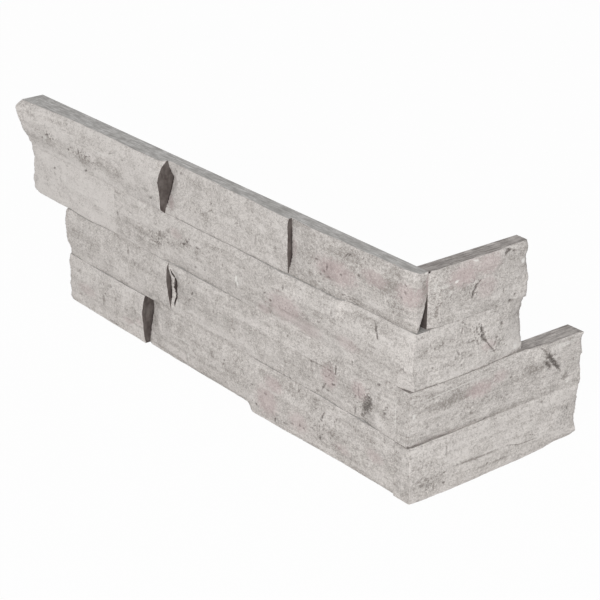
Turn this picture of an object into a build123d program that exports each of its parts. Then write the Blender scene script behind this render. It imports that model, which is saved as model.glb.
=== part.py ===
from build123d import *
import os
import random

# Stacked stone corner panel: four courses of marble strips glued edge to edge, in millimetres.
# The long leg runs along -X and the short leg along +Y. Both have flat sawn backs, which meet
# at the wall corner, and hand-split fronts. The strips are sawn on their beds and ends.

# Courses
course_height = 38.1

# Reach of each leg from the wall corner, for the upper two and the lower two courses
long_reach_upper = 438.0
long_reach_lower = 389.0
short_reach_upper = 83.0
short_reach_lower = 135.0

# Butt joints in the long leg, as distances from the wall corner
joint_top_left = 250.0
joint_top_middle = 109.5
joint_second = 318.0
joint_third = 250.0
joint_bottom = 284.0

# Mean thickness of the strips, from the sawn back to the split front
stone_thickness = 12.0

# How far the end of each strip that runs through the corner stands proud of that thickness
end_relief_top = -1.5
end_relief_second = 0.5
end_relief_third = 2.0
end_relief_bottom = 2.6

# How far a strip that runs through the corner reaches past the other leg's back
corner_lap_top = stone_thickness + end_relief_top
corner_lap_second = stone_thickness + end_relief_second
corner_lap_third = stone_thickness + end_relief_third
corner_lap_bottom = stone_thickness + end_relief_bottom

# Hand-split relief: pitch of the facets, their depth, and the least thickness left
facet_pitch = 14.0
facet_depth = 0.5
thinnest = 3.0

# Heights of the face tables' values and of the facets' rows, as shares of a course
table_heights = [0.0, 0.08, 0.34, 0.66, 0.9, 1.0]
facet_heights = [0.0, 0.08, 0.21, 0.34, 0.5, 0.66, 0.78, 0.9, 1.0]

# Spall at the lower corner of the top course
spall_height = 24.0
spall_width = 6.8
spall_depth = 8.0


def level(course):
    """Height of a course's lower bed, counted from the bottom one, which is 0."""
    return course * course_height


def blend(values, share):
    """Relief at a height, given as a share of the course, from one station's values."""
    for low, high, a, b in zip(table_heights, table_heights[1:], values, values[1:]):
        if share <= high:
            return a + (b - a) * (share - low) / (high - low)
    return values[-1]


def columns(face, start, end, seed):
    """Stations along a split face: each is its place and its thicknesses from bed to bed.

    A face is a list of stations: the distance from the wall corner, then how far the face
    stands proud of the mean thickness at each of the table's heights. The distances stretch
    with the strip. Facets away from the beds get a small seeded depth.
    """
    draw = random.Random(seed)
    first, last = face[0][0], face[-1][0]
    found = []
    for (mark_a, *relief_a), (mark_b, *relief_b) in zip(face, face[1:]):
        steps = max(1, round(abs(mark_b - mark_a) / facet_pitch))
        for step in range(steps + (mark_b == last)):
            mix = step / steps
            share = (mark_a + (mark_b - mark_a) * mix - first) / (last - first)
            thick = []
            for height in facet_heights:
                depth = stone_thickness + blend(relief_a, height) * (1 - mix) + blend(relief_b, height) * mix
                if 0.0 < height < 1.0 and 0.0 < share < 1.0:
                    depth += draw.uniform(-facet_depth, facet_depth)
                thick.append(max(thinnest, depth))
            found.append((start + (end - start) * share, thick))
    return found


def flat(points):
    """One flat face through the points, in order."""
    return Face(Wire.make_polygon([Vector(*point) for point in points]))


def strip(course, start, end, face, seed, place):
    """A stone strip with a flat back, beds and ends, and a faceted split front."""
    rows = [level(course) + course_height * height for height in facet_heights]
    front = [[place(along, depth, row) for depth, row in zip(thick, rows)]
             for along, thick in columns(face, start, end, seed)]
    back_low = [place(along, 0.0, rows[0]) for along in (start, end)]
    back_high = [place(along, 0.0, rows[-1]) for along in (start, end)]
    faces = [flat([back_low[0], back_low[1], back_high[1], back_high[0]])]
    faces.append(flat([back_low[0], *[column[0] for column in front], back_low[1]]))
    faces.append(flat([back_high[0], *[column[-1] for column in front], back_high[1]]))
    faces.append(flat([back_low[0], *front[0], back_high[0]]))
    faces.append(flat([back_low[1], *front[-1], back_high[1]]))
    turn = random.Random(seed)
    for left, right in zip(front, front[1:]):
        for row in range(len(rows) - 1):
            corners = [left[row], right[row], right[row + 1], left[row + 1]]
            if turn.random() < 0.5:
                corners = corners[1:] + corners[:1]
            faces.append(flat(corners[:3]))
            faces.append(flat([corners[0], corners[2], corners[3]]))
    return Solid(Shell(faces))


def on_long_leg(along, thick, height):
    """A point of the long leg, by its distance from the wall corner and its thickness."""
    return (-along, -thick, height)


def on_short_leg(along, thick, height):
    """A point of the short leg, by its distance from the wall corner and its thickness."""
    return (thick, along, height)


def corner_spall(course, lap):
    """The broken lower corner of a strip's end, as a wedge that opens downwards."""
    foot = level(course)
    outer = (lap, -spall_width, foot)
    inner = (lap, 0.0, foot)
    deep = (lap - spall_depth, 0.0, foot)
    apex = (lap, 0.0, foot + spall_height)
    sides = [flat([outer, inner, deep]), flat([outer, inner, apex])]
    sides += [flat([inner, deep, apex]), flat([deep, outer, apex])]
    return Solid(Shell(sides))


# Split fronts: distance from the wall corner, then the relief at the table's six heights
top_left_face = [
    (438, 1.2, 2.0, 6.8, 12.2, 12.6, 6.0),
    (425, 1.3, 2.1, 6.0, 10.0, 9.5, 5.8),
    (400, 1.4, 2.2, 5.6, 7.8, 6.6, 4.7),
    (370, 1.5, 2.3, 5.4, 6.6, 5.0, 3.0),
    (330, 1.6, 2.4, 5.2, 5.8, 4.2, 2.5),
    (290, 1.7, 2.5, 5.6, 6.2, 5.2, 3.9),
    (262, 1.8, 4.6, 6.2, 7.4, 5.4, 3.3),
    (254, 1.9, 5.8, 6.5, 7.8, 5.2, 3.2),
    (250, 2.0, 6.3, 6.5, 7.9, 3.9, -1.4),
]
top_middle_face = [
    (250, 2.0, 1.4, -2.2, -6.6, -2.4, -1.4),
    (245, 1.8, 1.2, -0.8, -4.0, -2.4, -2.0),
    (238, 1.6, 1.6, 0.6, -1.0, -1.2, -2.2),
    (205, 1.6, 2.0, 1.6, 0.4, -0.4, -1.7),
    (190, 1.6, 2.0, 1.4, 0.2, -0.8, -1.9),
    (184, 1.6, 2.0, 1.6, 0.8, 0.2, -0.7),
    (150, 1.4, 1.8, 1.8, 1.0, 0.4, -0.7),
    (125, 1.3, 1.4, 2.0, 1.6, 1.2, 0.5),
    (109.5, 1.3, 1.5, 1.8, 1.4, 1.6, 0.5),
]
top_corner_face = [
    (109.5, 0.9, 0.3, -2.0, -2.0, -2.6, -1.7),
    (103, 0.7, 0.2, -0.4, -0.8, -1.2, -1.5),
    (90, 0.6, 0.8, 0.8, 0.2, -0.2, -1.0),
    (62, 0.4, 0.4, 1.0, 0.4, -0.6, -2.0),
    (54, -1.3, -0.5, 0.6, 0.2, -0.8, -2.1),
    (48, -2.3, -1.5, 0.4, 0.0, -1.0, -2.2),
    (20, -2.3, -1.6, -0.4, -0.6, -1.8, -2.8),
    (0, -2.3, -2.0, -1.4, -1.6, -2.4, -3.4),
    (-10.5, -3.8, -4.0, -3.9, -3.9, -4.6, -5.5),
]
top_return_face = [
    (0, -1.9, -1.8, -1.7, -1.6, -1.5, -1.3),
    (3, -0.3, -0.3, 0.0, 0.1, 0.1, 0.0),
    (8, 0.0, 0.6, 0.8, 0.6, 0.2, -0.5),
    (30, -0.1, 0.8, 1.4, 1.4, 0.4, -0.9),
    (48, -0.1, 0.7, 1.4, 1.4, 0.8, -0.2),
    (56, -0.1, 0.6, 1.2, 1.2, 0.8, -0.4),
    (63, -0.2, 0.6, 1.0, 0.8, 0.0, -1.8),
    (75, -0.2, 0.6, 0.6, -0.4, -0.8, -1.8),
    (83, -0.4, 0.4, 0.0, -1.8, -1.4, -2.0),
]
second_left_face = [
    (438, -2.0, 0.8, 0.8, -1.0, 0.4, 1.2),
    (430, 0.0, 0.8, 1.2, 0.4, 1.0, 1.3),
    (395, 0.3, 1.1, 1.8, 1.8, 1.6, 1.4),
    (385, -0.1, 0.7, 1.8, 2.0, 1.8, 1.5),
    (353, 1.5, 1.6, 1.8, 2.0, 1.8, 1.6),
    (335, -0.3, 0.5, 1.6, 1.8, 1.7, 1.6),
    (318, -0.4, 0.3, 1.0, 1.4, 1.5, 1.6),
]
second_corner_face = [
    (318, -0.3, 0.5, 1.2, 1.6, 1.7, 1.6),
    (290, 0.3, 0.9, 1.8, 2.2, 2.0, 1.7),
    (262, 0.2, 0.8, 2.2, 2.6, 2.2, 1.8),
    (250, -1.0, -0.2, 2.2, 2.8, 2.6, 2.0),
    (238, -2.5, -0.4, 2.2, 3.0, 2.8, 1.9),
    (230, -1.2, -0.4, 2.4, 3.2, 2.9, 2.0),
    (190, -0.6, 0.2, 3.0, 3.8, 3.2, 2.1),
    (166, -0.5, 0.3, 3.4, 4.2, 3.2, 1.6),
    (160, 0.3, 1.1, 3.4, 4.2, 3.4, 1.9),
    (130, 0.1, 0.9, 3.6, 4.8, 4.2, 2.6),
    (112, -0.5, 0.3, 3.6, 5.4, 5.2, 3.4),
    (100, -1.1, -0.3, 3.2, 4.8, 4.0, 1.9),
    (70, -0.8, 0.0, 3.0, 4.0, 3.6, 1.8),
    (56, 1.2, 1.6, 2.8, 3.8, 3.6, 1.9),
    (52, 1.4, 2.0, 2.8, 3.2, 1.4, -1.7),
    (20, 1.8, 2.0, 2.6, 2.6, 1.0, -2.1),
    (0, 1.5, 1.8, 2.0, 1.6, 0.6, -2.1),
    (-12.5, -1.6, -0.8, 0.4, 0.0, -0.6, -2.2),
]
second_return_face = [
    (0, 0.3, 0.3, 0.3, 0.3, 0.2, 0.0),
    (10, 1.2, 1.0, 1.0, 0.8, 0.4, 0.0),
    (30, 0.8, 1.0, 1.2, 0.9, 0.4, -0.1),
    (50, 0.0, 0.4, 1.0, 0.6, 0.0, -0.1),
    (60, -1.2, -0.4, 0.2, -0.2, -0.2, -0.2),
    (70, -1.8, -1.0, -0.6, -1.4, -0.8, -0.1),
    (78, -2.7, -1.6, -2.2, -3.8, -2.0, -0.5),
    (83, -3.2, -2.4, -3.8, -5.4, -3.8, -1.8),
]
third_left_face = [
    (389, -0.6, -0.2, 2.2, 2.8, 2.3, 1.1),
    (375, -0.6, 0.2, 2.0, 2.4, 1.8, 0.7),
    (367, 0.1, 0.6, 2.0, 2.4, 2.0, 1.2),
    (353, -0.6, 0.2, 2.0, 2.8, 2.9, 2.3),
    (335, -0.8, 0.0, 1.8, 2.2, 1.6, 0.4),
    (318, -0.6, 0.2, 1.6, 1.8, 0.6, -0.4),
    (295, -0.8, 0.0, 1.4, 1.8, 1.0, 0.2),
    (262, -1.2, -0.4, 1.4, 2.4, 2.0, 0.8),
    (250, -0.8, 0.0, 1.8, 3.1, 2.2, 0.6),
]
third_corner_face = [
    (250, -0.6, -0.3, -1.1, -1.1, 1.0, 0.6),
    (246.4, -0.5, -0.3, -1.0, -1.0, 0.6, 0.5),
    (245.8, -0.4, -1.0, -3.1, -3.2, 0.2, 0.4),
    (238, -0.3, -0.2, -0.8, -0.8, 0.8, 0.3),
    (215, -0.3, 0.5, 1.4, 1.8, 1.6, 0.6),
    (165, -0.3, 0.5, 2.2, 2.6, 1.6, 0.3),
    (150, -0.3, 0.5, 2.0, 2.4, 1.2, 0.2),
    (111, -0.9, -0.1, 2.0, 2.2, 0.8, -0.5),
    (107, -0.3, 0.5, 2.0, 2.2, 0.6, -0.8),
    (88, -0.4, 0.4, 2.0, 2.2, 0.6, -1.1),
    (82, -1.0, -0.2, 1.8, 2.2, 0.6, -1.0),
    (68, -0.8, 0.0, 1.8, 2.2, 1.0, -0.5),
    (50, 0.2, 1.0, 2.2, 2.8, 2.2, 1.5),
    (34, -1.4, -0.6, 1.4, 2.8, 2.6, 1.7),
    (25, -0.1, 0.6, 2.0, 3.0, 2.8, 1.8),
    (16, 1.1, 1.6, 2.4, 3.0, 2.8, 1.9),
    (0, 1.7, 1.6, 1.8, 1.8, 1.8, 1.5),
]
third_return_face = [
    (-14, -1.5, -0.7, 0.6, 0.8, 0.8, 0.4),
    (-4, -1.1, -0.3, 1.2, 1.6, 1.6, 1.3),
    (10, -1.2, -0.4, 1.6, 2.2, 2.2, 1.5),
    (30, -0.4, 0.4, 1.6, 2.4, 2.2, 1.2),
    (48, -0.3, 0.5, 1.6, 2.4, 2.2, 0.9),
    (62, -0.4, 0.4, 1.6, 2.2, 1.2, -0.9),
    (84, -0.3, 0.5, 1.6, 2.0, 0.8, -0.8),
    (95, 0.0, 0.8, 1.8, 2.2, 1.6, 0.5),
    (103, 0.1, 0.9, 1.8, 2.4, 2.4, 1.8),
    (125, 0.7, 1.5, 2.2, 2.6, 2.2, 1.4),
    (132, 1.4, 2.2, 2.2, 2.6, 1.9, 1.6),
    (135, 1.9, 2.5, 2.0, 2.6, 1.4, 3.0),
]
bottom_left_face = [
    (389, 0.3, 1.4, 1.6, 0.9, 1.0, 0.2),
    (370, 0.4, 1.4, 2.2, 1.8, 1.0, -0.1),
    (330, 0.6, 1.6, 2.4, 2.2, 1.6, 0.5),
    (300, 0.6, 1.6, 2.4, 2.2, 1.2, 0.0),
    (284, 0.6, 1.2, 2.2, 3.0, 1.3, -0.1),
]
bottom_corner_face = [
    (284, -3.8, -3.9, -5.0, -7.7, -7.9, -6.5),
    (280, -2.2, -2.2, -3.2, -5.4, -6.4, -5.4),
    (268, -2.1, -1.2, -0.6, -1.0, -1.2, -1.3),
    (250, -2.4, -0.6, 1.0, 1.0, 0.2, -0.7),
    (200, -2.6, 0.0, 2.2, 2.2, 1.0, -0.3),
    (160, -3.1, 0.2, 3.0, 2.6, 0.8, -0.4),
    (152, 1.4, 2.6, 3.6, 2.8, 0.9, -0.4),
    (146, 4.3, 4.6, 4.2, 3.2, 1.2, 0.0),
    (120, 3.6, 4.2, 4.4, 3.4, 1.4, -0.3),
    (90, 2.2, 3.2, 4.0, 3.2, 1.2, -0.4),
    (70, 1.6, 2.8, 3.6, 3.2, 1.8, -0.1),
    (50, 1.1, 2.4, 3.2, 3.0, 1.6, 0.2),
    (33, 1.0, 2.2, 3.2, 3.2, 2.4, 0.6),
    (16, 0.8, 2.0, 3.0, 3.2, 2.6, 1.1),
    (0, 0.9, 1.8, 2.3, 2.4, 2.4, 1.9),
]
bottom_return_face = [
    (-14.6, 2.6, 3.2, 3.0, 2.6, 1.8, 0.8),
    (-5, 3.8, 4.2, 3.8, 3.4, 2.6, 0.9),
    (15, 4.2, 4.6, 4.4, 4.0, 2.8, 0.9),
    (40, 3.8, 4.4, 4.4, 3.8, 2.4, 0.7),
    (60, 3.4, 4.0, 4.0, 3.2, 1.8, 0.2),
    (85, 2.7, 3.4, 3.4, 2.6, 1.2, -0.1),
    (105, 1.6, 2.6, 2.8, 2.2, 1.0, 0.1),
    (116, -0.8, 1.6, 2.0, 2.0, 1.2, 0.4),
    (127, -0.6, 1.6, 0.8, 1.0, 1.4, 0.9),
    (135, -1.5, 1.5, -0.9, 0.4, 1.3, 1.5),
]

top, second, third, bottom = 3, 2, 1, 0

# Top and second courses: the long leg runs through the corner and the short leg butts on it
strips = {
    "top_row_left_strip": strip(
        top, long_reach_upper, joint_top_left, top_left_face, 11, on_long_leg),
    "top_row_middle_strip": strip(
        top, joint_top_left, joint_top_middle, top_middle_face, 12, on_long_leg),
    "top_row_corner_strip": strip(
        top, joint_top_middle, -corner_lap_top, top_corner_face, 13, on_long_leg),
    "top_row_return_strip": strip(
        top, 0.0, short_reach_upper, top_return_face, 14, on_short_leg),
    "second_row_left_strip": strip(
        second, long_reach_upper, joint_second, second_left_face, 21, on_long_leg),
    "second_row_corner_strip": strip(
        second, joint_second, -corner_lap_second, second_corner_face, 22, on_long_leg),
    "second_row_return_strip": strip(
        second, 0.0, short_reach_upper, second_return_face, 23, on_short_leg),
}

# Third and bottom courses: the short leg runs through the corner instead
strips |= {
    "third_row_left_strip": strip(
        third, long_reach_lower, joint_third, third_left_face, 31, on_long_leg),
    "third_row_corner_strip": strip(
        third, joint_third, 0.0, third_corner_face, 32, on_long_leg),
    "third_row_return_strip": strip(
        third, -corner_lap_third, short_reach_lower, third_return_face, 33, on_short_leg),
    "bottom_row_left_strip": strip(
        bottom, long_reach_lower, joint_bottom, bottom_left_face, 41, on_long_leg),
    "bottom_row_corner_strip": strip(
        bottom, joint_bottom, 0.0, bottom_corner_face, 42, on_long_leg),
    "bottom_row_return_strip": strip(
        bottom, -corner_lap_bottom, short_reach_lower, bottom_return_face, 43, on_short_leg),
}

strips["top_row_corner_strip"] -= corner_spall(top, corner_lap_top)

# The origin is at the middle of the panel's own box, on the floor that it stands on
box = Compound(list(strips.values())).bounding_box()
to_origin = Location((-(box.min.X + box.max.X) / 2, -(box.min.Y + box.max.Y) / 2, 0.0))

os.makedirs("parts", exist_ok=True)
for name, solid in strips.items():
    export_step(to_origin * solid, f"parts/{name}.step")
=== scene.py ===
import math

import bpy
import numpy as np
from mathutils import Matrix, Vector
from mathutils.bvhtree import BVHTree
from mathutils.geometry import tessellate_polygon


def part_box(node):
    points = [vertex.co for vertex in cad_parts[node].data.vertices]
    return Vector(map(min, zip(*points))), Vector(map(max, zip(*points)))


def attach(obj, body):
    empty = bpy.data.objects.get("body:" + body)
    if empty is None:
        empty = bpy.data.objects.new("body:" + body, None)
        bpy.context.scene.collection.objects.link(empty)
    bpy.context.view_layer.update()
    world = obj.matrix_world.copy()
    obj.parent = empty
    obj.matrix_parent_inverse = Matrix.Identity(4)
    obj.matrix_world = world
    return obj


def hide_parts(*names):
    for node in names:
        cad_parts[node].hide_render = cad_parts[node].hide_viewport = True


# Looks of a stacked stone corner panel: each strip's faceted solid gets a fine split face.
# Lengths are in millimetres up to the point where a mesh is made, which is in metres.
MM = 0.001

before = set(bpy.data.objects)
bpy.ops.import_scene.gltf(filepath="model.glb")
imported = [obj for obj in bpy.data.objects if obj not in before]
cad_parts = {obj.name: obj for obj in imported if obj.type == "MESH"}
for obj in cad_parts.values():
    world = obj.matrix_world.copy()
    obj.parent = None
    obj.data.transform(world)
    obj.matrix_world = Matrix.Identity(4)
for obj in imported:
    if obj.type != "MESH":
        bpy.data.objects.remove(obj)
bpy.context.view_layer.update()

# The wall corner, where the two legs' backs meet at the foot of the panel
CORNER = Vector((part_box("top_row_return_strip")[0].x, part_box("top_row_left_strip")[1].y, 0))

# Height of a course
COURSE = (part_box("top_row_left_strip")[1].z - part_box("top_row_left_strip")[0].z) / MM

# Size of a grid cell on the split faces
CELL = 0.5

# Strips that run through the corner: which end of the strip shows there, low or high along
# it, and the strip that butts behind it, whose split face carries on across that end
FREE_ENDS = {
    "top_row_corner_strip": (1, "top_row_return_strip"),
    "second_row_corner_strip": (1, "second_row_return_strip"),
    "third_row_return_strip": (-1, "third_row_corner_strip"),
    "bottom_row_return_strip": (-1, "bottom_row_corner_strip"),
}

# Ends coloured dark brown-grey where a joint stands open
DARK_JOINT_ENDS = {
    "top_row_left_strip": (1,),
    "top_row_middle_strip": (-1, 1),
    "top_row_corner_strip": (-1,),
    "top_row_return_strip": (-1,),
    "second_row_left_strip": (1,),
    "second_row_corner_strip": (-1,),
    "third_row_left_strip": (1,),
    "third_row_corner_strip": (-1,),
    "bottom_row_left_strip": (1,),
    "bottom_row_corner_strip": (-1,),
}

# Of each split face: roughness from 0 to 1, darkness, streaks along the bed, and seed
CHARACTER = {
    "top_row_left_strip": (0.50, 0.16, 0.10, 11),
    "top_row_middle_strip": (0.35, 0.32, 0.05, 12),
    "top_row_corner_strip": (0.60, 0.54, 0.10, 13),
    "top_row_return_strip": (0.70, 0.40, 0.05, 14),
    "second_row_left_strip": (0.20, 0.04, 0.05, 21),
    "second_row_corner_strip": (0.65, 0.32, 0.12, 22),
    "second_row_return_strip": (0.90, 0.28, 0.10, 23),
    "third_row_left_strip": (0.40, 0.34, 0.08, 31),
    "third_row_corner_strip": (0.65, 0.34, 0.12, 32),
    "third_row_return_strip": (0.65, 0.42, 0.14, 33),
    "bottom_row_left_strip": (0.50, 0.25, 0.10, 41),
    "bottom_row_corner_strip": (0.60, 0.36, 0.12, 42),
    "bottom_row_return_strip": (0.65, 0.26, 0.12, 43),
}

# Kinds of mark: pits painted with shade, crumbly rock, painted shadow in open joints and cracks,
# grey and light patches (some of them painted shade and light), mauve veins and white scars
MARK_KINDS = ("pit", "rock", "dark", "shade", "light", "mauve", "pale")

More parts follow.
